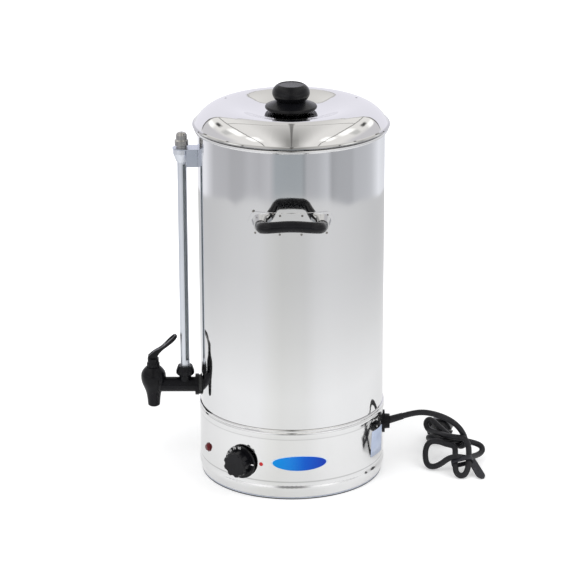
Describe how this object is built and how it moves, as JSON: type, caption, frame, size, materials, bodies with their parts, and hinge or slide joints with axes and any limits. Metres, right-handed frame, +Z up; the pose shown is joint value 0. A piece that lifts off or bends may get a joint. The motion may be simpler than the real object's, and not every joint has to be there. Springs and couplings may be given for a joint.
{
  "type": "hot water urn",
  "caption": "Stainless hot water urn with a lift-off lid, self-closing tap, sight-glass level gauge, carrying handles, thermostat dial and a bundled mains lead.",
  "frame": {"origin": "on the tank axis at the surface the urn stands on", "axes": "+Z up along the tank axis, -Y the control panel, -X the tap and gauge, +X the mains lead"},
  "size_m": [0.494, 0.3802, 0.5646],
  "materials": {
    "polished_steel": "mirror polished stainless sheet",
    "plate_steel": "dull rolled stainless sheet",
    "turned_steel": "bright drawn",
    "nickelled_brass": "nickel plated",
    "element_steel": "heat-tinted",
    "black_plastic": "moulded, half gloss",
    "dark_housing": "moulded, matt",
    "white_block": "moulded, matt",
    "red_lens": "clear red moulding",
    "red_button": "moulded",
    "seal_rubber": "silicone",
    "foot_rubber": "matt",
    "gauge_glass": "clear tube",
    "cord_rubber": "dull sheath",
    "tie_black": "strap"
  },
  "bodies": {
    "urn": {"base_plate": "plate_steel", "base_skirt": "polished_steel", "bracket_rivets": "turned_steel", "cord_gland": "black_plastic", "cord_hank": "cord_rubber", "cord_tie": "tie_black", "cord_tube": "cord_rubber", "earth_nut": "turned_steel", "earth_stud": "turned_steel", "element_bushings": "nickelled_brass", "element_gaskets": "seal_rubber", "element_nuts": "nickelled_brass", "element_terminals": "turned_steel", "floor_studs": "turned_steel", "foot_ring": "foot_rubber", "front_handle_grip": "black_plastic", "front_handle_plate": "polished_steel", "gauge_bracket": "plate_steel", "gauge_cap": "nickelled_brass", "gauge_ferrule": "nickelled_brass", "gauge_glass": "gauge_glass", "gauge_guard": "polished_steel", "gauge_nut": "black_plastic", "gauge_seal": "seal_rubber", "gauge_top_seal": "seal_rubber", "gland_nut": "black_plastic", "heating_element": "element_steel", "mains_plug": "black_plastic", "pilot_lamp_body": "dark_housing", "pilot_lamp_clip": "turned_steel", "pilot_lamp_lens": "red_lens", "plug_pins": "nickelled_brass", "rear_handle_grip": "black_plastic", "rear_handle_plate": "polished_steel", "shank_inner_gasket": "seal_rubber", "shank_nut": "nickelled_brass", "shank_outer_gasket": "seal_rubber", "strain_relief": "cord_rubber", "stud_nuts": "turned_steel", "tank": "polished_steel", "tap_body": "black_plastic", "tap_bonnet": "black_plastic", "tap_shank": "black_plastic", "tap_spring": "turned_steel", "terminal_block": "white_block", "terminal_screws": "turned_steel", "thermal_cutout": "dark_housing", "thermostat_body": "dark_housing", "thermostat_screws": "turned_steel"},
    "lid": {"lid": "polished_steel", "lid_knob": "black_plastic", "knob_screw": "turned_steel", "knob_washer": "turned_steel"},
    "valve": {"valve_stem": "turned_steel", "valve_cup": "seal_rubber"},
    "tap_lever": {"tap_lever": "black_plastic", "lever_pin": "turned_steel"},
    "thermostat_dial": {"thermostat_knob": "black_plastic", "thermostat_spindle": "turned_steel"},
    "reset_button": {"reset_button": "red_button"}
  },
  "joints": [
    {"name": "lid_lift", "type": "slide", "parent": "urn", "child": "lid", "axis": [0, 0, 1], "range_m": [0, 0.15]},
    {"name": "valve_lift", "type": "slide", "parent": "urn", "child": "valve", "axis": [0, 0, 1], "range_m": [0, 0.003], "stiffness_N_per_m": 600, "springref_m": -0.004, "deforming": ["tap_spring"]},
    {"name": "tap_lever_tilt", "type": "hinge", "parent": "valve", "child": "tap_lever", "pos_m": [-0.1972, 0, 0.16815], "axis": [0, -1, 0], "range_deg": [0, 60.1]},
    {"name": "thermostat_turn", "type": "hinge", "parent": "urn", "child": "thermostat_dial", "pos_m": [-0.06947, -0.10988, 0.051], "axis": [0.5344, 0.8453, 0], "range_deg": [0, 270]},
    {"name": "reset_press", "type": "slide", "parent": "urn", "child": "reset_button", "axis": [0, 0, 1], "range_m": [0, 0.002], "stiffness_N_per_m": 400, "springref_m": -0.001}
  ],
  "couplings": [
    {"joint": "tap_lever_tilt", "follows": "valve_lift", "rad_per_m": 349.07}
  ]
}
